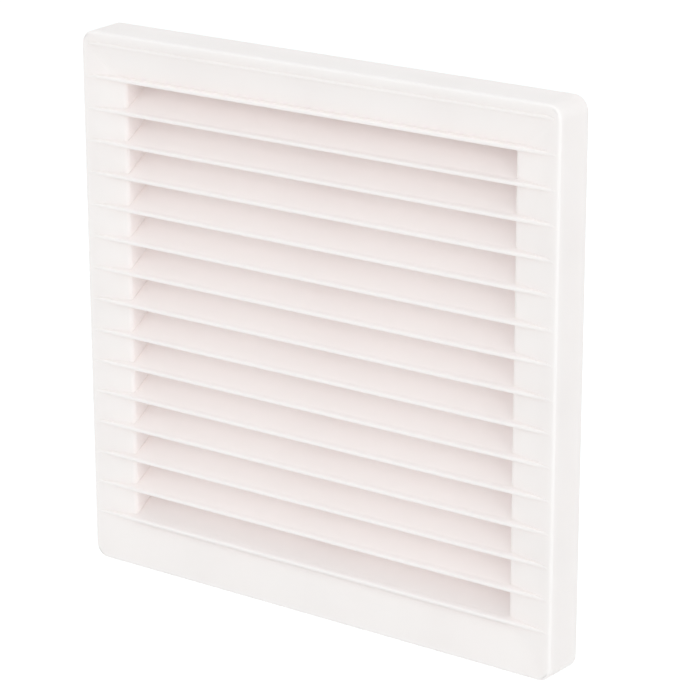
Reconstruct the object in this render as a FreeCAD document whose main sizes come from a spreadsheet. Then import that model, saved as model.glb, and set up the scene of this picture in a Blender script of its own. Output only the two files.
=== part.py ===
import FreeCAD, Part
import math
import os
import Sketcher

# Louvred ventilation grille, one moulding in white ABS.
# X runs to the right as seen from the room, Z runs up, and the louvres face -Y.
# The wall plane is Y = 0. The rim stands in front of it and the insert collar
# goes behind it into the opening in the wall. All lengths are millimetres.

os.makedirs("parts", exist_ok=True)
doc = FreeCAD.newDocument("louvre_grille_model")

sheet = doc.addObject("Spreadsheet::Sheet", "Sizes")
sheetRow = 1


def size(alias, value, note):
    global sheetRow
    sheet.set("A" + str(sheetRow), note)
    sheet.set("B" + str(sheetRow), str(value))
    sheet.setAlias("B" + str(sheetRow), alias)
    sheetRow += 1
    return value


# rim, the shallow box that stands on the wall
rimWidth = size("rim_width", 186, "outer width at the wall")
rimHeight = size("rim_height", 186, "outer height at the wall")
rimDepth = size("rim_depth", 15, "wall plane to the front of the rim")
rimCorner = size("rim_corner", 6.8, "outer corner radius")
rimDraft = size("rim_draft", 1.3, "draft of the outer walls, degrees")
rimEdge = size("rim_edge", 1.3, "rounding of the front outer edge")
rimWall = size("rim_wall", 2, "thickness of the outer walls")

# face, a shallow dish between the rim edge and the louvre field
stileWidth = size("stile_width", 17.3, "outer wall to the louvre field, left and right")
headerLeast = size("header_least", 16.3, "least height of the face above and below the field")
faceBorder = size("face_border", 2, "outer wall to the start of the dish")
dishDepth = size("dish_depth", 2, "depth of the dish at the louvre field")
dishCorner = size("dish_corner", 5, "corner radius where the dish starts")
dishInner = size("dish_inner", 1.6, "corner radius at the louvre field")
facePlate = size("face_plate", 2, "thickness of the face")
jambRound = size("jamb_round", 1.5, "rounding where the face turns into a jamb")

# louvres
linePitch = size("line_pitch", 10.95, "spacing of the louvre lips")
noseRadius = size("nose_radius", 0.35, "rounding of the lip edge")
lipFront = size("lip_front", 1.15, "height of the upright front of a lip")
lipReach = size("lip_reach", 1.95, "front of a lip to its crease")
lipRise = size("lip_rise", 1.5, "lip edge to the crease")
lipTipRoot = size("lip_tip_root", 2, "depth of a lip at its outer end")
lipEnd = size("lip_end", 0.4, "lip end to the start of the dish")
edgeLipRoot = size("edge_lip_root", 2.4, "depth of the lips nearest the rim")
edgeLipEnd = size("edge_lip_end", 1.6, "end of those lips to the start of the dish")
bladeSlope = size("blade_slope", 32, "rise of a blade to the back, degrees")
bladeThickness = size("blade_thickness", 1.6, "thickness of a blade")
bladeDepth = size("blade_depth", 14.5, "lip to the back edge of a blade")
bladeBite = size("blade_bite", 1, "length of a blade inside each jamb")

# back
collarWall = size("collar_wall", 2, "thickness of the insert collar")
collarDepth = size("collar_depth", 12, "length of the collar behind the wall plane")
collarCorner = size("collar_corner", 3, "outer corner radius of the collar")
webThickness = size("web_thickness", 1.4, "thickness of the webs in the hollow rim")
webSetback = size("web_setback", 1.5, "wall plane to the webs")
webCount = size("web_count", 3, "webs on each side")
webSpan = size("web_span", 100, "first web to last web on one side")
mullionWidth = size("mullion_width", 1.6, "thickness of the rear stiffener")
mullionDepth = size("mullion_depth", 4.5, "depth of the rear stiffener")
mullionLap = size("mullion_lap", 1.5, "how far the stiffener reaches over the blades")
doc.recompute()

body = doc.addObject("PartDesign::Body", "louvre_grille")
body.Label = "louvre_grille"
body.Placement = FreeCAD.Placement()

vector = FreeCAD.Vector


def originFeature(role):
    for feature in body.Origin.OriginFeatures:
        if feature.Role == role:
            return feature
    raise RuntimeError("no origin feature " + role)


def newSketch(name, role):
    sketch = body.newObject("Sketcher::SketchObject", name)
    sketch.AttachmentSupport = (originFeature(role), [""])
    sketch.MapMode = "FlatFace"
    return sketch


def bind(sketch, constraint, name, rule):
    index = sketch.addConstraint(constraint)
    sketch.renameConstraint(index, name)
    sketch.setExpression("Constraints." + name, rule)


def plainRectangle(sketch, tag, left, right, low, high):
    # four lines, each side at its own distance from the sketch origin
    corner = [(left[0], low[0]), (right[0], low[0]), (right[0], high[0]), (left[0], high[0])]
    first = sketch.GeometryCount
    for k in range(4):
        a = corner[k]
        b = corner[(k + 1) % 4]
        sketch.addGeometry(Part.LineSegment(vector(a[0], a[1], 0), vector(b[0], b[1], 0)))
    for k in range(4):
        nextLine = first + (k + 1) % 4
        sketch.addConstraint(Sketcher.Constraint("Coincident", first + k, 2, nextLine, 1))
    for k in (0, 2):
        sketch.addConstraint(Sketcher.Constraint("Horizontal", first + k))
        sketch.addConstraint(Sketcher.Constraint("Vertical", first + k + 1))
    bind(sketch, Sketcher.Constraint("DistanceX", -1, 1, first, 1, left[0]), tag + "_left", left[1])
    bind(sketch, Sketcher.Constraint("DistanceX", -1, 1, first, 2, right[0]), tag + "_right", right[1])
    bind(sketch, Sketcher.Constraint("DistanceY", -1, 1, first, 1, low[0]), tag + "_low", low[1])
    bind(sketch, Sketcher.Constraint("DistanceY", -1, 1, first + 2, 1, high[0]), tag + "_high", high[1])


def centredRectangle(sketch, tag, width, height):
    left = (-width[0] / 2, "-(" + width[1] + ") / 2")
    right = (width[0] / 2, "(" + width[1] + ") / 2")
    low = (-height[0] / 2, "-(" + height[1] + ") / 2")
    high = (height[0] / 2, "(" + height[1] + ") / 2")
    plainRectangle(sketch, tag, left, right, low, high)


def roundedRectangle(sketch, tag, width, height, radius):
    # four sides joined by four equal tangent arcs, centred on the origin
    w = width[0] / 2
    h = height[0] / 2
    r = radius[0]
    first = sketch.GeometryCount
    side = [((-w + r, -h), (w - r, -h)), ((w, -h + r), (w, h - r)),
            ((w - r, h), (-w + r, h)), ((-w, h - r), (-w, -h + r))]
    centre = [(w - r, -h + r), (w - r, h - r), (-w + r, h - r), (-w + r, -h + r)]
    quarter = math.pi / 2
    for k in range(4):
        a, b = side[k]
        sketch.addGeometry(Part.LineSegment(vector(a[0], a[1], 0), vector(b[0], b[1], 0)))
        circle = Part.Circle(vector(centre[k][0], centre[k][1], 0), vector(0, 0, 1), r)
        sketch.addGeometry(Part.ArcOfCircle(circle, (k - 1) * quarter, k * quarter))
    for k in range(4):
        line = first + 2 * k
        arc = line + 1
        nextLine = first + (2 * k + 2) % 8
        sketch.addConstraint(Sketcher.Constraint("Tangent", line, 2, arc, 1))
        sketch.addConstraint(Sketcher.Constraint("Tangent", arc, 2, nextLine, 1))
        if k:
            sketch.addConstraint(Sketcher.Constraint("Equal", first + 1, arc))
    sketch.addConstraint(Sketcher.Constraint("Horizontal", first))
    sketch.addConstraint(Sketcher.Constraint("Vertical", first + 2))
    sketch.addConstraint(Sketcher.Constraint("Symmetric", first + 1, 3, first + 5, 3, -1, 1))
    bind(sketch, Sketcher.Constraint("Radius", first + 1, r), tag + "_radius", radius[1])
    across = Sketcher.Constraint("DistanceX", first + 6, 1, first + 2, 2, 2 * w)
    bind(sketch, across, tag + "_width", width[1])
    upright = Sketcher.Constraint("DistanceY", first, 1, first + 4, 2, 2 * h)
    bind(sketch, upright, tag + "_height", height[1])


def symmetric(pad):
    if hasattr(pad, "SideType"):
        pad.SideType = "Symmetric"
    else:
        pad.Midplane = True


def grows(feature, wanted, what):
    # a step that goes the wrong way is found by the change of volume
    doc.recompute()
    volume = body.Shape.Volume
    change = volume - grows.last
    grows.last = volume
    if change * wanted <= 0:
        raise RuntimeError(what + " changes the volume by " + str(change))


grows.last = 0.0


def half(pair):
    return (pair[0] / 2, "(" + pair[1] + ") / 2")


def negative(pair):
    return (-pair[0], "-(" + pair[1] + ")")


def plus(pair, other, times=1):
    return (pair[0] + times * other[0], pair[1] + " + " + str(times) + " * (" + other[1] + ")")


# each pair is a length and the rule that gives it from the sheet
outerWidth = (rimWidth, "Sizes.rim_width")
outerHeight = (rimHeight, "Sizes.rim_height")
openingCount = math.floor((rimHeight - 2 * headerLeast) / linePitch)
countRule = "floor((Sizes.rim_height - 2 * Sizes.header_least) / Sizes.line_pitch)"
fieldWidth = (rimWidth - 2 * stileWidth, "Sizes.rim_width - 2 * Sizes.stile_width")
fieldHeight = (openingCount * linePitch, countRule + " * Sizes.line_pitch")
collarThick = (collarWall, "Sizes.collar_wall")
collarWide = plus(fieldWidth, collarThick, 2)
collarHigh = plus(fieldHeight, collarThick, 2)
insideWide = plus(outerWidth, (rimWall, "Sizes.rim_wall"), -2)
insideHigh = plus(outerHeight, (rimWall, "Sizes.rim_wall"), -2)
insideCorner = (rimCorner - rimWall, "Sizes.rim_corner - Sizes.rim_wall")
surroundCorner = (collarCorner, "Sizes.collar_corner")


def outlineAt(name, depthRule, tag, width, height, radius):
    # a rounded outline parallel to the wall, so far in front of it
    sketch = newSketch(name, "XZ_Plane")
    sketch.setExpression("AttachmentOffset.Base.z", depthRule)
    roundedRectangle(sketch, tag, width, height, radius)
    return sketch


def loft(kind, name, first, second, wanted):
    feature = body.newObject("PartDesign::" + kind, name)
    feature.Profile = first
    feature.Sections = [second]
    feature.Ruled = True
    grows(feature, wanted, name)
    return feature


def repeat(name, original, axis, back, length, count):
    # the tip has to be set for a pattern to count
    pattern = body.newObject("PartDesign::LinearPattern", name)
    pattern.Originals = [original]
    pattern.Direction = (originFeature(axis), [""])
    pattern.Reversed = back
    pattern.setExpression("Length", length)
    pattern.setExpression("Occurrences", count)
    body.Tip = pattern
    grows(pattern, 1, name)
    return pattern


# the rim block, drafted towards its front
rimSketch = newSketch("rim_outline", "XZ_Plane")
roundedRectangle(rimSketch, "rim", outerWidth, outerHeight, (rimCorner, "Sizes.rim_corner"))
rimBlock = body.newObject("PartDesign::Pad", "rim_block")
rimBlock.Profile = rimSketch
rimBlock.setExpression("Length", "Sizes.rim_depth")
rimBlock.setExpression("TaperAngle", "-Sizes.rim_draft")
grows(rimBlock, 1, "rim_block")

# the front outer edge is rounded all the way round
frontEdges = []
for number, edge in enumerate(rimBlock.Shape.Edges, 1):
    if edge.BoundBox.YMax < -rimDepth + 0.01:
        frontEdges.append("Edge" + str(number))
rimRound = body.newObject("PartDesign::Fillet", "rim_edge_round")
rimRound.Base = (rimBlock, frontEdges)
rimRound.setExpression("Radius", "Sizes.rim_edge")
grows(rimRound, -1, "rim_edge_round")

# the rim is hollow at the back, with the surround of the field left standing
hollowSketch = newSketch("hollow_outline", "XZ_Plane")
roundedRectangle(hollowSketch, "inside", insideWide, insideHigh, insideCorner)
roundedRectangle(hollowSketch, "surround", collarWide, collarHigh, surroundCorner)
hollow = body.newObject("PartDesign::Pocket", "rim_hollow")
hollow.Profile = hollowSketch
hollow.setExpression("Length", "Sizes.rim_depth - Sizes.face_plate")
hollow.Reversed = True
grows(hollow, -1, "rim_hollow")

# the back of the face slopes like its front, which keeps the wall even
ceilingOuter = outlineAt("ceiling_start", "Sizes.rim_depth - Sizes.face_plate", "ceiling",
                         insideWide, insideHigh, insideCorner)
ceilingInner = outlineAt("ceiling_end", "Sizes.rim_depth - Sizes.face_plate - Sizes.dish_depth",
                         "surround", collarWide, collarHigh, surroundCorner)
loft("AdditiveLoft", "face_back", ceilingOuter, ceilingInner, 1)

# the face falls away from the rim edge to the louvre field
border = (faceBorder, "Sizes.face_border")
dishOuter = outlineAt("dish_start", "Sizes.rim_depth", "start", plus(outerWidth, border, -2),
                      plus(outerHeight, border, -2), (dishCorner, "Sizes.dish_corner"))
dishBase = outlineAt("dish_end", "Sizes.rim_depth - Sizes.dish_depth", "end", fieldWidth, fieldHeight,
                     (dishInner, "Sizes.dish_inner"))
loft("SubtractiveLoft", "face_dish", dishOuter, dishBase, -1)

# the surround goes on behind the wall plane as the insert collar
collarSketch = newSketch("collar_outline", "XZ_Plane")
roundedRectangle(collarSketch, "collar", collarWide, collarHigh, surroundCorner)
collar = body.newObject("PartDesign::Pad", "insert_collar")
collar.Profile = collarSketch
collar.Reversed = True
collar.setExpression("Length", "Sizes.collar_depth")
grows(collar, 1, "insert_collar")

# the louvre field is open right through, from the face to the end of the collar
fieldSketch = newSketch("field_outline", "XZ_Plane")
fieldSketch.setExpression("AttachmentOffset.Base.z", "-Sizes.collar_depth - 1")
centredRectangle(fieldSketch, "field", fieldWidth, fieldHeight)
field = body.newObject("PartDesign::Pocket", "louvre_field")
field.Profile = fieldSketch
field.Reversed = True
field.setExpression("Length", "Sizes.rim_depth + Sizes.collar_depth + 2")
grows(field, -1, "louvre_field")

# the face turns softly into the two jambs
jambEdges = []
for number, edge in enumerate(field.Shape.Edges, 1):
    box = edge.BoundBox
    upright = box.ZLength > fieldHeight[0] / 2 and box.XLength < 0.01 and box.YLength < 0.01
    atFace = abs(box.YMin - dishDepth + rimDepth) < 0.01
    if upright and atFace and abs(abs(box.XMin) - fieldWidth[0] / 2) < 0.01:
        jambEdges.append("Edge" + str(number))
jambs = body.newObject("PartDesign::Fillet", "jamb_rounds")
jambs.Base = (field, jambEdges)
jambs.setExpression("Radius", "Sizes.jamb_round")
grows(jambs, -1, "jamb_rounds")

slope = math.radians(bladeSlope)
frontY = -rimDepth
lipRoot = (dishDepth + jambRound, "(Sizes.dish_depth + Sizes.jamb_round)")


def lineHeight(number):
    # the lips stand on lines one pitch apart, and the field starts at line 1
    halfCount = openingCount / 2 + 1 - number
    return (halfCount * linePitch, "((" + countRule + ") / 2 + " + str(1 - number) + ") * Sizes.line_pitch")


def lipProfile(sketch, edge, depth, thin=False):
    # nose, upright front, top to the crease and slope; thin gives the sloped underside of a blade
    crest = vector(frontY, edge[0] + lipFront, 0)
    crease = vector(frontY + lipReach, edge[0] + lipRise, 0)
    backY = frontY + depth[0]
    topBack = vector(backY, crease.y + (backY - crease.x) * math.tan(slope), 0)
    points = [vector(frontY, edge[0] + noseRadius, 0), crest, crease, topBack]
    if thin:
        underBack = vector(backY, topBack.y - bladeThickness / math.cos(slope), 0)
        heel = vector(backY - (underBack.y - edge[0]) / math.tan(slope), edge[0], 0)
        points += [underBack, heel]
    else:
        points += [vector(backY, edge[0], 0)]
    points += [vector(frontY + noseRadius, edge[0], 0)]
    circle = Part.Circle(vector(frontY + noseRadius, edge[0] + noseRadius, 0), vector(0, 0, 1), noseRadius)
    sketch.addGeometry(Part.ArcOfCircle(circle, math.pi, 1.5 * math.pi))
    for a, b in zip(points, points[1:]):
        sketch.addGeometry(Part.LineSegment(a, b))
    last = len(points) - 1
    for k in range(1, last):
        sketch.addConstraint(Sketcher.Constraint("Coincident", k, 2, k + 1, 1))
    sketch.addConstraint(Sketcher.Constraint("Tangent", 0, 1, 1, 1))
    sketch.addConstraint(Sketcher.Constraint("Tangent", last, 2, 0, 2))
    sketch.addConstraint(Sketcher.Constraint("Vertical", 1))
    sketch.addConstraint(Sketcher.Constraint("Horizontal", last))
    sketch.addConstraint(Sketcher.Constraint("Vertical", 4))
    bind(sketch, Sketcher.Constraint("Radius", 0, noseRadius), "nose", "Sizes.nose_radius")
    bind(sketch, Sketcher.Constraint("DistanceX", 0, 1, -1, 1, rimDepth), "front", "Sizes.rim_depth")
    bind(sketch, Sketcher.Constraint("DistanceY", -1, 1, last, 2, edge[0]), "edge_height", edge[1])
    bind(sketch, Sketcher.Constraint("DistanceY", last, 2, 1, 2, lipFront), "face", "Sizes.lip_front")
    bind(sketch, Sketcher.Constraint("DistanceX", 0, 1, 2, 2, lipReach), "reach", "Sizes.lip_reach")
    bind(sketch, Sketcher.Constraint("DistanceY", last, 2, 2, 2, lipRise), "rise", "Sizes.lip_rise")
    bind(sketch, Sketcher.Constraint("Angle", 3, slope), "slope", "Sizes.blade_slope")
    bind(sketch, Sketcher.Constraint("DistanceX", 0, 1, 3, 2, depth[0]), "depth", depth[1])
    if thin:
        sketch.addConstraint(Sketcher.Constraint("Parallel", 3, 5))
        bind(sketch, Sketcher.Constraint("Distance", 5, 2, 3, bladeThickness), "thickness",
             "Sizes.blade_thickness")


def acrossPad(name, edge, depth, lengthRule, thin=False):
    sketch = newSketch(name + "_profile", "YZ_Plane")
    lipProfile(sketch, edge, depth, thin)
    pad = body.newObject("PartDesign::Pad", name)
    pad.Profile = sketch
    symmetric(pad)
    pad.setExpression("Length", lengthRule)
    grows(pad, 1, name)
    return pad


# the lips nearest the rim, above and below the field
edgeLip = acrossPad("edge_lip", lineHeight(0), (edgeLipRoot, "Sizes.edge_lip_root"),
                    "Sizes.rim_width - 2 * (Sizes.face_border + Sizes.edge_lip_end)")
repeat("edge_lips", edgeLip, "Z_Axis", True, "(" + countRule + " + 2) * Sizes.line_pitch", "2")

# the lips along the top and the bottom edge of the field
fieldLip = acrossPad("field_lip", lineHeight(1), lipRoot, fieldWidth[1])
repeat("field_lips", fieldLip, "Z_Axis", True, fieldHeight[1], "2")

# every line of the field goes on over the stiles and dies out in the dish
lipFar = plus(half(outerWidth), (faceBorder + lipEnd, "Sizes.face_border + Sizes.lip_end"), -1)
for side, sign in (("right", ""), ("left", "-")):
    sections = []
    for place, rule, depth in (("root", half(fieldWidth)[1], lipRoot),
                               ("tip", lipFar[1], (lipTipRoot, "Sizes.lip_tip_root"))):
        section = newSketch(side + "_lip_" + place, "YZ_Plane")
        section.setExpression("AttachmentOffset.Base.z", sign + "(" + rule + ")")
        lipProfile(section, lineHeight(1), depth)
        sections.append(section)
    doc.recompute()
    stileLip = loft("AdditiveLoft", side + "_lip", sections[0], sections[1], 1)
    repeat(side + "_lips", stileLip, "Z_Axis", True, fieldHeight[1], countRule + " + 1")

# one louvre blade across the field, then all of them
blade = acrossPad("louvre_blade", lineHeight(2), (bladeDepth, "Sizes.blade_depth"),
                  fieldWidth[1] + " + 2 * Sizes.blade_bite", True)
repeat("louvre_blades", blade, "Z_Axis", True, "(" + countRule + " - 1) * Sizes.line_pitch", countRule)

# an upright stiffener ties the blades together at mid span, behind what is seen
bite = (bladeBite, "Sizes.blade_bite")
mullionSketch = newSketch("mullion_outline", "XZ_Plane")
mullionSketch.setExpression("AttachmentOffset.Base.z",
                            "Sizes.rim_depth - Sizes.blade_depth + Sizes.mullion_lap - Sizes.mullion_depth")
centredRectangle(mullionSketch, "mullion", (mullionWidth, "Sizes.mullion_width"), plus(fieldHeight, bite, 2))
mullion = body.newObject("PartDesign::Pad", "rear_mullion")
mullion.Profile = mullionSketch
mullion.setExpression("Length", "Sizes.mullion_depth")
grows(mullion, 1, "rear_mullion")


def webProfile(sketch, tag, near, far, acrossFirst):
    # a flat web from the surround to the rim wall, its top inside the sloping face
    low = (-webSetback, "-Sizes.web_setback")
    farTop = (facePlate / 2 - rimDepth, "Sizes.face_plate / 2 - Sizes.rim_depth")
    nearTop = plus(farTop, (dishDepth, "Sizes.dish_depth"))
    corner = [(near, low), (far, low), (far, farTop), (near, nearTop)]
    first = sketch.GeometryCount
    for k in range(4):
        ends = []
        for across, depth in (corner[k], corner[(k + 1) % 4]):
            flat = (across[0], depth[0], 0) if acrossFirst else (depth[0], across[0], 0)
            ends.append(vector(*flat))
        sketch.addGeometry(Part.LineSegment(ends[0], ends[1]))
    for k in range(4):
        sketch.addConstraint(Sketcher.Constraint("Coincident", first + k, 2, first + (k + 1) % 4, 1))
    acrossName, depthName = ("DistanceX", "DistanceY") if acrossFirst else ("DistanceY", "DistanceX")
    for k in range(4):
        across, depth = corner[k]
        label = tag + "_" + str(k)
        sideways = Sketcher.Constraint(acrossName, -1, 1, first + k, 1, across[0])
        bind(sketch, sideways, label + "_across", across[1])
        inward = Sketcher.Constraint(depthName, -1, 1, first + k, 1, depth[0])
        bind(sketch, inward, label + "_depth", depth[1])


# short webs join the rim walls to the surround inside the hollow
webOffset = "-Sizes.web_span / 2"
rimInner = (-rimWall / 2, "-Sizes.rim_wall / 2")
surroundInner = (collarWall / 2, "Sizes.collar_wall / 2")
for name, role, axis, span, outside in (("side_web", "XY_Plane", "Z_Axis", fieldWidth, outerWidth),
                                        ("end_web", "YZ_Plane", "X_Axis", fieldHeight, outerHeight)):
    near = plus(half(span), surroundInner)
    far = plus(half(outside), rimInner)
    webSketch = newSketch(name + "_outline", role)
    webSketch.setExpression("AttachmentOffset.Base.z", webOffset)
    webProfile(webSketch, "plus", near, far, role == "XY_Plane")
    webProfile(webSketch, "minus", negative(near), negative(far), role == "XY_Plane")
    web = body.newObject("PartDesign::Pad", name)
    web.Profile = webSketch
    symmetric(web)
    web.setExpression("Length", "Sizes.web_thickness")
    grows(web, 1, name)
    repeat(name + "s", web, axis, False, "Sizes.web_span", "Sizes.web_count")

doc.recompute()
for thing in doc.Objects:
    if "Invalid" in thing.State or "Error" in thing.State:
        raise RuntimeError(thing.Name + " " + str(thing.State))
    if hasattr(thing, "Shape") and thing.TypeId.startswith("PartDesign"):
        if thing.Shape.isNull() or not thing.Shape.isValid():
            raise RuntimeError(thing.Name + " has no valid shape")
if len(body.Shape.Solids) != 1:
    raise RuntimeError("the moulding is not one solid")

body.Shape.exportStep("parts/louvre_grille.step")
box = body.Shape.optimalBoundingBox()
print("louvre_grille", round(box.XLength, 2), round(box.YLength, 2), round(box.ZLength, 2))
print("volume cm3", round(body.Shape.Volume / 1000, 2), "faces", len(body.Shape.Faces))
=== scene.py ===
import math
import bmesh
import bpy
from mathutils import Matrix, Vector


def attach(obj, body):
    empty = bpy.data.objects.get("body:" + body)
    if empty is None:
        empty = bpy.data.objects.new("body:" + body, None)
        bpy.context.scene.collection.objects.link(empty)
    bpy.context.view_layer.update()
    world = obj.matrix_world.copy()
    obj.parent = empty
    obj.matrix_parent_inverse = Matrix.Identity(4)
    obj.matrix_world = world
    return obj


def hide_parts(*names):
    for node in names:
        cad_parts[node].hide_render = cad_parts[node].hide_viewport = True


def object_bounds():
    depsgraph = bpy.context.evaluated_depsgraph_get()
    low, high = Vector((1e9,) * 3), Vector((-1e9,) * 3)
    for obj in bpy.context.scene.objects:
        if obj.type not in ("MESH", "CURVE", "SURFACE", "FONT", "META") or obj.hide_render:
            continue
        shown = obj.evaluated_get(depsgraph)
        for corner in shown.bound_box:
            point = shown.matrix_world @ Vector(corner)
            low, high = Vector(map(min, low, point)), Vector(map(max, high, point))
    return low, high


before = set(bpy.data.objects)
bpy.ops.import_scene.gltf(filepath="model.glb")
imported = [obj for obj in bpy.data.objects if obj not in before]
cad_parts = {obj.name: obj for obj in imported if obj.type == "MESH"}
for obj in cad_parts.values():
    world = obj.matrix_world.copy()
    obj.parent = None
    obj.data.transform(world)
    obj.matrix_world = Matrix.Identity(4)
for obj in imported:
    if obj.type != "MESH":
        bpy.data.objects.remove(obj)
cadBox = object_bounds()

mm = 0.001
bodyName = "root"
nodeName = "louvre_grille"
print("frame loaded:", nodeName)


def toLinear(hexColour):
    # sRGB hex to the linear values that the shader sockets take
    channels = [int(hexColour[k:k + 2], 16) / 255 for k in (1, 3, 5)]
    return [c / 12.92 if c <= 0.04045 else ((c + 0.055) / 1.055) ** 2.4 for c in channels] + [1.0]


def addNode(tree, kind, settings=None, inputs=None, links=None):
    # settings go on the node, inputs are values by socket name, links are sockets by name
    node = tree.nodes.new(kind)
    for key, value in (settings or {}).items():
        setattr(node, key, value)
    for key, value in (inputs or {}).items():
        node.inputs[key].default_value = value
    for key, socket in (links or {}).items():
        tree.links.new(socket, node.inputs[key])
    return node


# Moulded ABS from a polished tool: warm white, a soft satin gloss with a broad highlight,
# and a very faint waviness from shrinkage over the walls behind the face.
whiteAbs = {
    "colour": "#FEF3F1",
    "shade": "#FCF1EF",
    "roughness": 0.36,
    "roughnessSpread": 0.05,
    "ior": 1.52,
    "scatter": 1.0,      # share of the light that enters the plastic
    "scatterDepth": 3.0,  # mm
    "mottle": 22.0,      # mm, size of the slow change of tone
    "grain": 0.45,       # mm, the tool finish, drawn about twice as coarse as real
    "grainHeight": 0.010,
    "wave": 14.0,        # mm, shrinkage waviness
    "waveHeight": 0.020,
}


def makeWhiteAbs():
    s = whiteAbs
    material = bpy.data.materials.new("moulded_white_ABS")
    material.use_nodes = True
    tree = material.node_tree
    tree.nodes.clear()
    coords = addNode(tree, "ShaderNodeTexCoord").outputs["Object"]
    mottle = addNode(tree, "ShaderNodeTexNoise", {"noise_dimensions": "3D"},
                     {"Scale": 1 / (s["mottle"] * mm), "Detail": 2.0, "Roughness": 0.5}, {"Vector": coords})
    tone = addNode(tree, "ShaderNodeMix", {"data_type": "RGBA"})   # its colour sockets are 6 and 7
    tone.inputs[6].default_value = toLinear(s["colour"])
    tone.inputs[7].default_value = toLinear(s["shade"])
    tree.links.new(mottle.outputs["Fac"], tone.inputs[0])
    gloss = addNode(tree, "ShaderNodeMapRange", None,
                    {"From Min": 0.3, "From Max": 0.7,
                     "To Min": s["roughness"] - s["roughnessSpread"],
                     "To Max": s["roughness"] + s["roughnessSpread"]}, {"Value": mottle.outputs["Fac"]})
    grain = addNode(tree, "ShaderNodeTexNoise", None,
                    {"Scale": 1 / (s["grain"] * mm), "Detail": 1.0}, {"Vector": coords})
    wave = addNode(tree, "ShaderNodeTexNoise", None,
                   {"Scale": 1 / (s["wave"] * mm), "Detail": 1.0}, {"Vector": coords})
    waveBump = addNode(tree, "ShaderNodeBump", None,
                       {"Strength": 1.0, "Distance": s["waveHeight"] * mm}, {"Height": wave.outputs["Fac"]})
    grainBump = addNode(tree, "ShaderNodeBump", None,
                        {"Strength": 0.6, "Distance": s["grainHeight"] * mm},
                        {"Height": grain.outputs["Fac"], "Normal": waveBump.outputs["Normal"]})
    shader = addNode(tree, "ShaderNodeBsdfPrincipled", None,
                     {"Metallic": 0.0, "IOR": s["ior"], "Subsurface Weight": s["scatter"],
                      "Subsurface Scale": s["scatterDepth"] * mm, "Subsurface Radius": (1.0, 1.0, 1.0)},
                     {"Base Color": tone.outputs[2], "Roughness": gloss.outputs["Result"],
                      "Normal": grainBump.outputs["Normal"]})
    addNode(tree, "ShaderNodeOutputMaterial", None, None, {"Surface": shader.outputs["BSDF"]})
    return material


absMaterial = makeWhiteAbs()
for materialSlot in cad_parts[nodeName].material_slots:
    materialSlot.material = absMaterial


def finishMesh(mesh, sharpAngle=28.0):
    # smooth, but sharp where faces meet at more than this angle in degrees
    mesh.shade_smooth()
    mesh.set_sharp_from_angle(angle=math.radians(sharpAngle))
    if not mesh.materials:
        mesh.materials.append(absMaterial)


def newPiece(name, mesh):
    piece = bpy.data.objects.new(name, mesh)
    bpy.context.scene.collection.objects.link(piece)
    return piece


# Sizes are millimetres. Y = 0 is the wall plane and the louvres face -Y.
rim = {
    "halfWidth": 93.0,
    "halfHeight": 93.0,
    "depth": 15.0,
    "corner": 5.0,
    "draft": 1.3,        # degrees, the outer walls lean in towards the front
    "edge": 0.9,         # rounding of the front outer edge
    "wall": 2.0,
    "cornerSteps": 10,
    "edgeSteps": 7,
}
face = {
    "border": 1.45,      # outer wall to the start of the dish
    "dish": 2.0,         # how far the face falls to the louvre field
    "dishCorner": 3.2,
    "dishInner": 1.6,
    "fieldCorner": 0.3,
    "plate": 2.0,
    "jambRound": 1.5,    # rounding where the face turns into a jamb
    "jambSteps": 6,
    "soften": 0.18,      # small break on the moulded edges
    "strip": 0.15,       # flat strip beside a rounding, which keeps the large faces flat
    "leastCorner": 0.05,
}
field = {
    "halfWidth": 75.7,
    "pitch": 10.95,
    "openings": 14,
}
collar = {
    "wall": 2.0,
    "depth": 12.0,
    "corner": 3.0,
}
fieldHalfHeight = field["openings"] * field["pitch"] / 2
firstLine = (field["openings"] / 2 + 1) * field["pitch"]


def roundedLoop(halfWidth, halfHeight, radius, y, steps):
    # one ring of points round a rounded rectangle, seen from the front, anticlockwise
    points = []
    corners = ((1, -1, -90), (1, 1, 0), (-1, 1, 90), (-1, -1, 180))
    for signX, signZ, start in corners:
        for k in range(steps + 1):
            angle = math.radians(start + 90 * k / steps)
            x = signX * (halfWidth - radius) + radius * math.cos(angle)
            z = signZ * (halfHeight - radius) + radius * math.sin(angle)
            points.append(Vector((x, y, z)) * mm)
    return points


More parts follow.
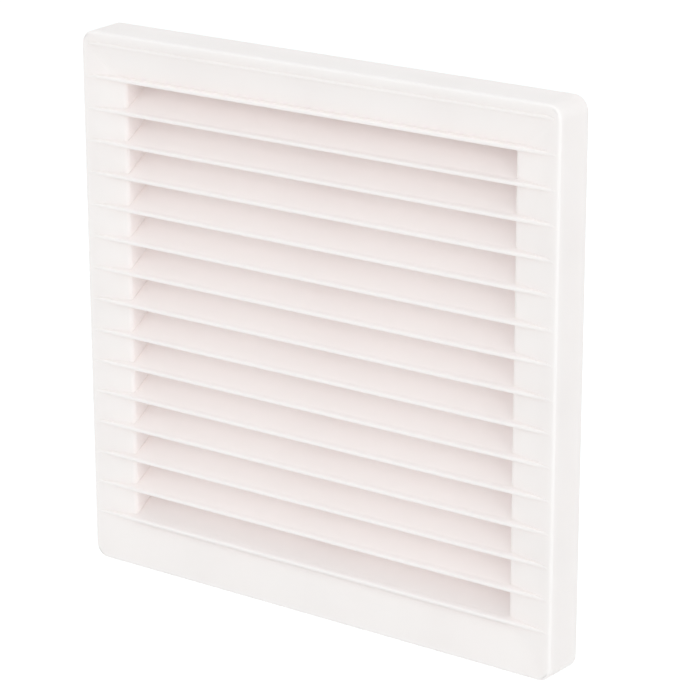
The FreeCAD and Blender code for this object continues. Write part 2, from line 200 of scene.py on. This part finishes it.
def shellRings():
    # rings from the back edge of the rim, over the face, through the field and back inside
    r, f, c = rim, face, collar
    soft, strip = f["soften"], f["strip"]
    lean = math.tan(math.radians(r["draft"]))
    rings = []

    def ring(halfWidth, halfHeight, radius, y):
        rings.append((halfWidth, halfHeight, max(radius, f["leastCorner"]), y))

    w, h = r["halfWidth"], r["halfHeight"]
    ring(w - soft, h - soft, r["corner"] - soft, 0.0)
    ring(w - soft * lean, h - soft * lean, r["corner"], -soft)
    low = r["depth"] - r["edge"] - strip
    ring(w - low * lean, h - low * lean, r["corner"] - low * lean, -low)
    for k in range(r["edgeSteps"] + 1):
        turn = math.radians(90 * k / r["edgeSteps"])
        y = -r["depth"] + r["edge"] * (1 - math.sin(turn))
        inset = (r["depth"] - r["edge"]) * lean + r["edge"] * (1 - math.cos(turn))
        ring(w - inset, h - inset, r["corner"] - inset, y)
    fw, fh = field["halfWidth"], fieldHalfHeight
    fall = f["dish"] / (w - f["border"] - fw)
    fallTop = f["dish"] / (h - f["border"] - fh)

    def dishRing(inset):
        # a ring on the dish, so far in from where it starts
        part = inset / (w - f["border"] - fw)
        high = h - f["border"] - part * (h - f["border"] - fh)
        radius = f["dishCorner"] + part * (f["dishInner"] - f["dishCorner"])
        ring(w - f["border"] - inset, high, radius, part * f["dish"] - r["depth"])

    ring(w - f["border"] + strip, h - f["border"] + strip, f["dishCorner"] + strip, -r["depth"])
    dishRing(0.0)
    dishRing(strip)
    bend = f["jambRound"]
    centre = fall * (w - f["border"] - fw - bend) + bend * math.hypot(1, fall)
    start = math.atan(fall)
    dishRing(w - f["border"] - fw - bend + bend * math.sin(start) - strip)
    for k in range(f["jambSteps"] + 1):
        turn = start + (math.pi / 2 - start) * k / f["jambSteps"]
        depth = centre - bend * math.cos(turn)
        high = max(fh, h - f["border"] - depth / fallTop)
        radius = f["fieldCorner"] + (f["dishInner"] - f["fieldCorner"]) * (1 - k / f["jambSteps"])
        ring(fw + bend - bend * math.sin(turn), high, radius, depth - r["depth"])
    ring(fw, fh, f["fieldCorner"], c["depth"] - soft)
    ring(fw + soft, fh + soft, f["fieldCorner"] + soft, c["depth"])
    cw, ch = fw + c["wall"], fh + c["wall"]
    ring(cw - soft, ch - soft, c["corner"] - soft, c["depth"])
    ring(cw, ch, c["corner"], c["depth"] - soft)
    backY = f["plate"] - r["depth"]
    ring(cw, ch, c["corner"], backY + f["dish"])
    iw, ih = w - r["wall"], h - r["wall"]
    ring(iw, ih, r["corner"] - r["wall"], backY)
    ring(iw, ih, r["corner"] - r["wall"], -soft)
    ring(iw + soft, ih + soft, r["corner"] - r["wall"] + soft, 0.0)
    return rings


def buildShell():
    steps = rim["cornerSteps"]
    bm = bmesh.new()
    loops = []
    for halfWidth, halfHeight, radius, y in shellRings():
        loops.append([bm.verts.new(p) for p in roundedLoop(halfWidth, halfHeight, radius, y, steps)])
    count = len(loops[0])
    for a in range(len(loops)):
        here, there = loops[a], loops[(a + 1) % len(loops)]
        for k in range(count):
            n = (k + 1) % count
            bm.faces.new((here[k], here[n], there[n], there[k]))
    bmesh.ops.recalc_face_normals(bm, faces=bm.faces)
    mesh = bpy.data.meshes.new("grille_shell")
    bm.to_mesh(mesh)
    bm.free()
    finishMesh(mesh)
    return newPiece("grille_shell", mesh)


lip = {
    "nose": 0.35,
    "noseSteps": 5,
    "front": 1.15,       # height of the upright front
    "reach": 1.95,       # front to the crease
    "rise": 1.5,         # edge to the crease
    "crest": 0.5,        # rounding of the upper front edge
    "crestSteps": 5,
    "fades": [(0.0, 0.5), (1.2, 0.85), (3.0, 1.0)],   # in from the end, share of the section
    "fillet": 0.6,       # where the top curves up into the stile, as a share of its depth there
    "filletSunk": 0.04,  # how far the end of that curve lies inside the stile
    "filletTurn": 80.0,  # degrees
    "filletSteps": 6,
    "lift": 0.3,         # the lines sit this much above an even split of the field
    "endGap": 0.4,       # lip end to the start of the dish
    "edgeEndGap": 1.6,   # the same for the short lip on the header
    "root": 2.7,         # how deep a lip goes into the face
    "tipRoot": 1.6,
    "support": 0.1,      # flat strip beside a rounding, which keeps the large faces flat
}


def roundCorner(before, corner, after, radius, steps):
    # points of a small arc that rounds one corner of a profile
    a = (before - corner).normalized()
    b = (after - corner).normalized()
    half = a.angle(b) / 2
    reach = radius / math.tan(half)
    centre = corner + (a + b).normalized() * (radius / math.sin(half))
    start = corner + a * reach - centre
    end = corner + b * reach - centre
    points = [corner + a * (reach + lip["support"])]
    for k in range(steps + 1):
        points.append(centre + start.slerp(end, k / steps).normalized() * radius)
    return points + [corner + b * (reach + lip["support"])]


def faceDepth(x):
    # depth of the dished face behind the rim front, at a distance from the middle
    edge = rim["halfWidth"] - face["border"]
    return face["dish"] * min(1.0, max(0.0, edge - x) / (edge - field["halfWidth"]))


def lipSection(root, share=1.0, depth=0.0):
    # rounded underside edge, upright front and crest, then a nearly flat top that curves up into
    # a face at the given depth, or else runs on to the root, in (distance behind the front, height)
    n = lip["nose"] * share
    points = [Vector((n + lip["support"], 0.0))]
    for k in range(lip["noseSteps"] + 1):
        angle = math.radians(270 - 90 * k / lip["noseSteps"])
        points.append(Vector((n + n * math.cos(angle), n + n * math.sin(angle))))
    crest = Vector((0.0, lip["front"] * share))
    crease = Vector((lip["reach"], lip["rise"])) * share
    points += roundCorner(points[-1], crest, crease, lip["crest"] * share, lip["crestSteps"])
    rise = (crease.y - crest.y) / crease.x
    first = points[-1].x
    radius = lip["fillet"] * depth
    start = max(first + lip["support"], depth + lip["filletSunk"] - radius)
    steps = lip["filletSteps"]
    for k in range(steps + 1):
        turn = math.radians(lip["filletTurn"]) * k / steps
        if radius > 0:
            distance = start + radius * math.sin(turn)
        else:
            distance = first + (root - first) * (k + 1) / (steps + 2)
        points.append(Vector((distance, crest.y + distance * rise + radius * (1 - math.cos(turn)))))
    return points + [Vector((root, points[-1].y)), Vector((root, 0.0))]


blade = {
    "slope": 32.0,       # degrees
    "thickness": 1.6,
    "depth": 14.5,
    "rear": 0.3,         # rounding of the rear edges
    "rearSteps": 3,
    "start": 1.2,        # its front end, inside the lip
    "sunk": 0.03,        # its underside, just above the lip's
    "bite": 1.4,         # into the jamb
}


def bladeSection():
    # a sloping plate that leaves the lip at its crease
    b = blade
    slope = math.tan(math.radians(b["slope"]))

    def onTop(distance):
        return Vector((distance, lip["rise"] + (distance - lip["reach"]) * slope))

    rearTop = onTop(b["depth"])
    rearLow = rearTop - Vector((0.0, b["thickness"] / math.cos(math.radians(b["slope"]))))
    heel = Vector((rearLow.x - (rearLow.y - b["sunk"]) / slope, b["sunk"]))
    points = [Vector((b["start"], b["sunk"])), onTop(b["start"])]
    points += roundCorner(points[-1], rearTop, rearLow, b["rear"], b["rearSteps"])
    points += roundCorner(rearTop, rearLow, heel, b["rear"], b["rearSteps"])
    return points + [heel]


def prismMesh(name, sections):
    # a closed skin through equal sections, each a list of points, with both ends capped
    bm = bmesh.new()
    rows = [[bm.verts.new(point * mm) for point in section] for section in sections]
    for here, there in zip(rows, rows[1:]):
        for k in range(len(here)):
            n = (k + 1) % len(here)
            bm.faces.new((here[k], here[n], there[n], there[k]))
    bm.faces.new(rows[0])
    bm.faces.new(rows[-1])
    bmesh.ops.recalc_face_normals(bm, faces=bm.faces)
    mesh = bpy.data.meshes.new(name)
    bm.to_mesh(mesh)
    bm.free()
    finishMesh(mesh)
    return mesh


def acrossMesh(name, stations):
    # a bar along X through (x, section) stations, its front in the plane of the rim front
    sections = [[Vector((x, p.x - rim["depth"], p.y)) for p in section] for x, section in stations]
    return prismMesh(name, sections)


def boxMesh(name, low, high, soften):
    bm = bmesh.new()
    bmesh.ops.create_cube(bm, size=1.0)
    size = Vector(high) - Vector(low)
    middle = (Vector(high) + Vector(low)) / 2
    for vert in bm.verts:
        vert.co = Vector([vert.co[k] * size[k] + middle[k] for k in range(3)]) * mm
    bmesh.ops.bevel(bm, geom=bm.edges[:], offset=soften * mm, segments=2, affect="EDGES", profile=0.5)
    bmesh.ops.recalc_face_normals(bm, faces=bm.faces)
    mesh = bpy.data.meshes.new(name)
    bm.to_mesh(mesh)
    bm.free()
    finishMesh(mesh)
    return mesh


def rowTree():
    # copies of the incoming bar on a straight row of points, made real, with the material set
    tree = bpy.data.node_groups.new("louvre_row", "GeometryNodeTree")
    sockets = (("Geometry", "Geometry"), ("Count", "Int"), ("First", "Vector"), ("Step", "Vector"),
               ("Material", "Material"))
    for name, kind in sockets:
        tree.interface.new_socket(name, in_out="INPUT", socket_type="NodeSocket" + kind)
    tree.interface.new_socket("Geometry", in_out="OUTPUT", socket_type="NodeSocketGeometry")
    given = addNode(tree, "NodeGroupInput").outputs
    row = addNode(tree, "GeometryNodeMeshLine", {"mode": "OFFSET"}, None,
                  {"Count": given["Count"], "Start Location": given["First"], "Offset": given["Step"]})
    copies = addNode(tree, "GeometryNodeInstanceOnPoints", None, None,
                     {"Points": row.outputs["Mesh"], "Instance": given["Geometry"]})
    real = addNode(tree, "GeometryNodeRealizeInstances", None, None,
                   {"Geometry": copies.outputs["Instances"]})
    dressed = addNode(tree, "GeometryNodeSetMaterial", None, None,
                      {"Geometry": real.outputs["Geometry"], "Material": given["Material"]})
    addNode(tree, "NodeGroupOutput", None, None, {"Geometry": dressed.outputs["Geometry"]})
    return tree


rowNodes = rowTree()


def buildRow(name, mesh, count, first, step):
    # the modifier's inputs are set by identifier before the object is first evaluated
    source = newPiece(name + "_source", mesh)
    modifier = source.modifiers.new("row", "NODES")
    modifier.node_group = rowNodes
    values = {"Count": count, "First": Vector(first) * mm, "Step": Vector(step) * mm,
              "Material": absMaterial}
    for item in rowNodes.interface.items_tree:
        if item.in_out == "INPUT" and item.name in values:
            modifier[item.identifier] = values[item.name]
    graph = bpy.context.evaluated_depsgraph_get()
    plain = bpy.data.meshes.new_from_object(source.evaluated_get(graph), depsgraph=graph)
    plain.name = name
    bpy.data.objects.remove(source, do_unlink=True)
    finishMesh(plain)
    return newPiece(name, plain)


def joinPieces(name, pieces):
    bm = bmesh.new()
    for piece in pieces:
        bm.from_mesh(piece.data)
        bpy.data.objects.remove(piece, do_unlink=True)
    mesh = bpy.data.meshes.new(name)
    bm.to_mesh(mesh)
    bm.free()
    finishMesh(mesh)
    return newPiece(name, mesh)


shell = buildShell()
print("shell built")


def lipStations(endGap):
    # sections from one outer end to the other, which die away towards the ends
    far = rim["halfWidth"] - face["border"] - endGap
    root = lip["root"]
    tips = []
    for inset, share in lip["fades"]:
        x = far - inset
        tips.append((x, lipSection(lip["tipRoot"], share, faceDepth(x))))
    inner = field["halfWidth"]
    shoulder = inner + face["jambRound"]
    half = tips + [(shoulder, lipSection(root, 1.0, faceDepth(shoulder))), (inner, lipSection(root))]
    return [(-x, section) for x, section in half] + [(x, section) for x, section in reversed(half)]


def buildLips():
    # a lip runs the whole width of the face on every line of the field, and a shorter one on the header
    edge = acrossMesh("edge_lip", lipStations(lip["edgeEndGap"]))
    bar = acrossMesh("face_lip", lipStations(lip["endGap"]))
    edges = buildRow("edge_lips", edge, 1, (0, 0, firstLine + lip["lift"]), (0, 0, 0))
    rows = buildRow("field_lips", bar, field["openings"] + 1,
                    (0, 0, fieldHalfHeight + lip["lift"]), (0, 0, -field["pitch"]))
    return joinPieces("face_lips", [edges, rows])


def buildBlades():
    end = field["halfWidth"] + blade["bite"]
    bar = acrossMesh("blade", [(x, bladeSection()) for x in (-end, end)])
    top = firstLine - 2 * field["pitch"] + lip["lift"]
    return buildRow("louvre_blades", bar, field["openings"], (0, 0, top), (0, 0, -field["pitch"]))


lips = buildLips()
blades = buildBlades()
print("louvres built")


mullion = {
    "width": 1.6,
    "depth": 4.5,
    "lap": 1.5,          # how far it reaches over the blades
    "soften": 0.12,
}
web = {
    "thickness": 1.4,
    "setback": 1.5,
    "count": 3,
    "span": 100.0,
    "bite": 1.0,
}


def buildBack():
    # the rear stiffener, then webs in the hollow rim whose tops follow the sloping face
    front = blade["depth"] - rim["depth"] - mullion["lap"]
    bite = web["bite"]
    half = mullion["width"] / 2
    high = fieldHalfHeight + bite
    rear = front + mullion["depth"]
    upright = boxMesh("mullion", (-half, front, -high), (half, rear, high), mullion["soften"])
    pieces = [newPiece("mullion", upright)]
    topFar = face["plate"] / 2 - rim["depth"]
    topNear = topFar + face["dish"]
    half = web["thickness"] / 2
    step = web["span"] / (web["count"] - 1)
    start = -web["span"] / 2

    def webOutline(inner, outer):
        back = -web["setback"]
        return [(inner + bite, back), (outer, back), (outer, topFar), (inner + bite, topNear)]

    sideOutline = webOutline(field["halfWidth"], rim["halfWidth"] - rim["wall"] / 2)
    endOutline = webOutline(fieldHalfHeight, rim["halfHeight"] - rim["wall"] / 2)
    for sign in (-1, 1):
        ends = [[Vector((sign * a, y, z)) for a, y in sideOutline] for z in (-half, half)]
        side = prismMesh("side_web", ends)
        pieces.append(buildRow("side_webs", side, web["count"], (0, 0, start), (0, 0, step)))
        ends = [[Vector((x, y, sign * a)) for a, y in endOutline] for x in (-half, half)]
        end = prismMesh("end_web", ends)
        pieces.append(buildRow("end_webs", end, web["count"], (start, 0, 0), (step, 0, 0)))
    return joinPieces("rear_stiffeners", pieces)


stiffeners = buildBack()
print("back built")


def unite(name, base, others):
    # one skin out of the overlapping solids, as the part is one moulding
    for other in others:
        cut = base.modifiers.new("join", "BOOLEAN")
        cut.operation = "UNION"
        cut.solver = "EXACT"
        cut.object = other
    graph = bpy.context.evaluated_depsgraph_get()
    mesh = bpy.data.meshes.new_from_object(base.evaluated_get(graph), depsgraph=graph)
    mesh.name = name
    for used in [base] + others:
        bpy.data.objects.remove(used, do_unlink=True)
    finishMesh(mesh)
    return newPiece(name, mesh)


moulding = unite("louvre_grille_moulding", shell, [lips, blades, stiffeners])
print("united:", len(moulding.data.polygons), "faces")
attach(moulding, bodyName)
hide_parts(nodeName)

# Studio: a white floor well below the held grille, an even white surround and two soft lamps.
studio = {
    "floorDrop": 0.45,
    "floorSize": 12.0,
    "paperColour": "#E8E8E8",
    "floorGlow": 0.4,    # lifts the paper to white for the camera, over its own light and shadow
    "fibreScale": 900.0,  # per metre, so that the paper's fibres are about a millimetre
    "fibreHeight": 0.1,  # mm
    "worldStrength": 0.815,
}


def seenRays(tree):
    # 1 for the rays that show the surround directly, in a mirror or through something clear
    path = addNode(tree, "ShaderNodeLightPath").outputs
    total = path["Is Camera Ray"]
    for kind in ("Is Glossy Ray", "Is Transmission Ray"):
        more = addNode(tree, "ShaderNodeMath", {"operation": "MAXIMUM"})
        tree.links.new(total, more.inputs[0])
        tree.links.new(path[kind], more.inputs[1])
        total = more.outputs[0]
    return total


def buildFloor():
    s = studio
    half = s["floorSize"] / 2
    z = cadBox[0][2] - s["floorDrop"]
    mesh = bpy.data.meshes.new("floor")
    corners = [(-half, -half, z), (half, -half, z), (half, half, z), (-half, half, z)]
    mesh.from_pydata(corners, [], [(0, 1, 2, 3)])
    material = bpy.data.materials.new("matt_white_paper")
    material.use_nodes = True
    tree = material.node_tree
    tree.nodes.clear()
    coords = addNode(tree, "ShaderNodeTexCoord").outputs["Object"]
    fibre = addNode(tree, "ShaderNodeTexNoise", None, {"Scale": s["fibreScale"], "Detail": 2.0},
                    {"Vector": coords})
    bump = addNode(tree, "ShaderNodeBump", None, {"Strength": 0.1, "Distance": s["fibreHeight"] * mm},
                   {"Height": fibre.outputs["Fac"]})
    paper = addNode(tree, "ShaderNodeBsdfPrincipled", None,
                    {"Base Color": toLinear(s["paperColour"]), "Roughness": 0.9},
                    {"Normal": bump.outputs["Normal"]})
    strength = addNode(tree, "ShaderNodeMapRange", None, {"To Min": 0.0, "To Max": s["floorGlow"]},
                       {"Value": seenRays(tree)})
    glow = addNode(tree, "ShaderNodeEmission", None, {"Color": (1, 1, 1, 1)},
                   {"Strength": strength.outputs["Result"]})
    both = addNode(tree, "ShaderNodeAddShader")
    tree.links.new(paper.outputs["BSDF"], both.inputs[0])
    tree.links.new(glow.outputs["Emission"], both.inputs[1])
    addNode(tree, "ShaderNodeOutputMaterial", None, None, {"Surface": both.outputs["Shader"]})
    mesh.materials.append(material)
    floor = newPiece("floor", mesh)
    return floor


def buildWorld():
    world = bpy.data.worlds.new("white_surround")
    bpy.context.scene.world = world
    world.use_nodes = True
    tree = world.node_tree
    tree.nodes.clear()
    strength = addNode(tree, "ShaderNodeMapRange", None,
                       {"To Min": studio["worldStrength"], "To Max": 1.0}, {"Value": seenRays(tree)})
    background = addNode(tree, "ShaderNodeBackground", None, {"Color": (1, 1, 1, 1)},
                         {"Strength": strength.outputs["Result"]})
    addNode(tree, "ShaderNodeOutputWorld", None, None, {"Surface": background.outputs["Background"]})


lampSize = 1.5           # metres
lampDistance = 3.0
lamps = [
    {"name": "front_softbox", "azimuth": 0.0, "elevation": 25.0, "watts": 11.0},
    {"name": "right_softbox", "azimuth": 68.0, "elevation": 15.0, "watts": 15.5},
]


def buildLamps():
    for lamp in lamps:
        data = bpy.data.lights.new(lamp["name"], "AREA")
        data.shape = "SQUARE"
        data.size = lampSize
        data.energy = lamp["watts"]
        holder = bpy.data.objects.new(lamp["name"], data)
        turn, rise = math.radians(lamp["azimuth"]), math.radians(lamp["elevation"])
        place = Vector((math.sin(turn) * math.cos(rise), -math.cos(turn) * math.cos(rise), math.sin(rise)))
        holder.location = place * lampDistance
        holder.rotation_euler = (-place).to_track_quat("-Z", "Y").to_euler()
        bpy.context.scene.collection.objects.link(holder)


# The photo's viewpoint, from a pinhole fit to the outline and the louvre lips.
view = {
    "azimuth": 35.893,
    "elevation": 18.143,
    "roll": -0.1083,
    "distance": 0.97953,
    "aimRight": 0.00407,
    "aimUp": -0.00433,
    "focalPixels": 3018.2,
    "imagePixels": 700,
    "sensor": 36.0,
    "farthest": 50.0,
}


def buildCamera():
    v = view
    az, el, roll = (math.radians(v[k]) for k in ("azimuth", "elevation", "roll"))
    back = Vector((math.sin(az) * math.cos(el), -math.cos(az) * math.cos(el), math.sin(el)))
    right = Vector((math.cos(az), math.sin(az), 0.0))
    up = back.cross(right)
    turnedRight = right * math.cos(roll) + up * math.sin(roll)
    turnedUp = up * math.cos(roll) - right * math.sin(roll)
    place = right * v["aimRight"] + Vector((0, 0, v["aimUp"])) + back * v["distance"]
    data = bpy.data.cameras.new("camera")
    data.sensor_fit = "HORIZONTAL"
    data.sensor_width = v["sensor"]
    data.lens = v["focalPixels"] * v["sensor"] / v["imagePixels"]
    data.clip_end = v["farthest"]
    camera = bpy.data.objects.new("camera", data)
    turn = Matrix((turnedRight, turnedUp, back)).transposed().to_4x4()
    camera.matrix_world = Matrix.Translation(place) @ turn
    bpy.context.scene.collection.objects.link(camera)
    bpy.context.scene.camera = camera


buildFloor()
buildWorld()
buildLamps()
buildCamera()
bpy.context.scene.view_settings.view_transform = "Standard"
print("studio built")
